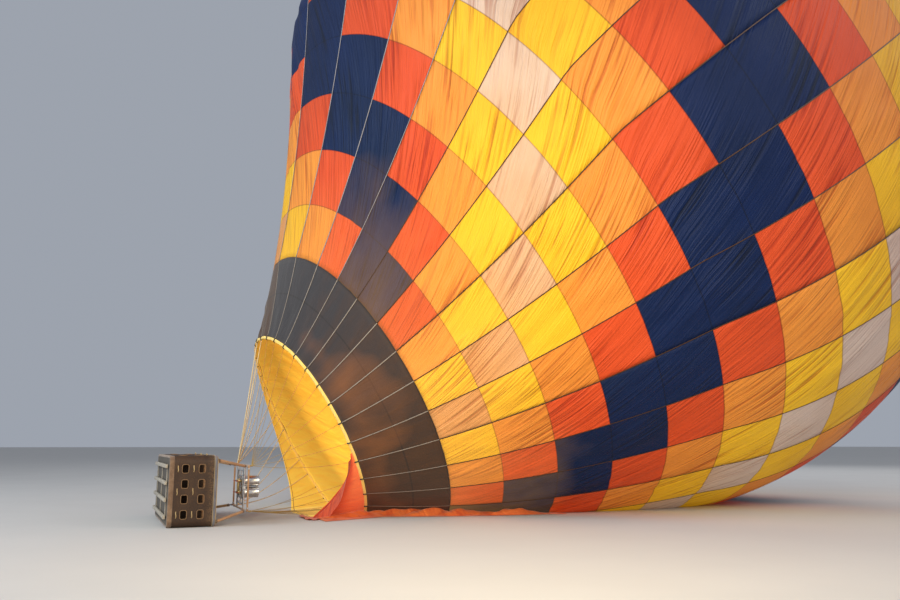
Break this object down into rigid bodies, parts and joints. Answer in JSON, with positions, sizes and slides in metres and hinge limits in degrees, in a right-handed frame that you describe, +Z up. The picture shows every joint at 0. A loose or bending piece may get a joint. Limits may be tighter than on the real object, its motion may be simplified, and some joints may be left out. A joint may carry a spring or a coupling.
{
  "type": "hot air balloon",
  "caption": "Passenger hot air balloon with its basket on its side, burners on a gimbal, and the envelope partly raised from the ground for inflation.",
  "frame": {"origin": "centre of the load frame, which is the air mount", "axes": "+X from the basket towards the mouth, +Y along the basket's long side, +Z up from the ground it lies on"},
  "size_m": [27.8483, 22.5296, 24.76],
  "materials": {
    "envelope_fabric": "satin coated nylon in a stair-step of blue, red-orange, orange, yellow and white panels",
    "band_fabric": "matt heat-resistant cloth",
    "scoop_fabric": "matt heat-resistant cloth",
    "apron_fabric": "satin coated nylon",
    "webbing": "woven tape",
    "wire": "sheathed cable",
    "frame_steel": "satin",
    "burner_steel": "bright stainless",
    "suede": "brushed suede",
    "rawhide": "worn rawhide",
    "wicker": "woven willow",
    "runner_wood": "weathered ash",
    "tank_metal": "brushed"
  },
  "bodies": {
    "balloon": {"envelope_panel_01": "envelope_fabric", "envelope_panel_02": "envelope_fabric", "envelope_panel_03": "envelope_fabric", "envelope_panel_04": "envelope_fabric", "envelope_panel_05": "envelope_fabric", "envelope_panel_06": "envelope_fabric", "envelope_panel_07": "envelope_fabric", "envelope_panel_08": "envelope_fabric", "envelope_panel_09": "envelope_fabric", "envelope_panel_10": "envelope_fabric", "envelope_panel_11": "envelope_fabric", "envelope_panel_12": "envelope_fabric", "mouth_band": "band_fabric", "mouth_rim": "scoop_fabric", "mouth_lining": "scoop_fabric", "scoop": "scoop_fabric", "mouth_apron": "apron_fabric", "crown_tapes": "webbing", "flying_wires_near_top": "wire", "flying_wires_near_bottom": "wire", "flying_wires_far_bottom": "wire", "flying_wires_far_top": "wire", "load_frame": "frame_steel", "upright_near_top": "suede", "upright_near_bottom": "suede", "upright_far_bottom": "suede", "upright_far_top": "suede", "basket_end_near": "wicker", "basket_end_far": "wicker", "basket_side_lower": "wicker", "basket_side_upper": "wicker", "basket_corner_near_top": "wicker", "basket_corner_near_bottom": "wicker", "basket_corner_far_bottom": "wicker", "basket_corner_far_top": "wicker", "basket_edging": "rawhide", "basket_floor": "runner_wood", "basket_bolster": "suede", "basket_runners": "runner_wood", "partition_cross_near": "wicker", "partition_long_near": "wicker", "partition_cross_far": "wicker", "partition_long_far": "wicker", "fuel_cylinder_near_top": "tank_metal", "fuel_cylinder_near_bottom": "tank_metal", "fuel_cylinder_far_bottom": "tank_metal", "fuel_cylinder_far_top": "tank_metal"},
    "gimbal": {"gimbal_ring": "frame_steel"},
    "burners": {"burner_block": "frame_steel", "burner_can_1": "burner_steel", "burner_can_2": "burner_steel", "burner_can_3": "burner_steel", "burner_can_4": "burner_steel"},
    "vent": {"parachute_vent": "envelope_fabric"}
  },
  "joints": [
    {"name": "gimbal_tilt", "type": "hinge", "parent": "balloon", "child": "gimbal", "pos_m": [0, 0, 0], "axis": [0, 1, 0], "range_deg": [-15, 15]},
    {"name": "burner_swing", "type": "hinge", "parent": "gimbal", "child": "burners", "pos_m": [0, 0, 0], "axis": [0, 0, 1], "range_deg": [-15, 15]},
    {"name": "vent_slide", "type": "slide", "parent": "balloon", "child": "vent", "axis": [-0.804, -0.0323, -0.5938], "range_m": [0, 1.5]}
  ]
}
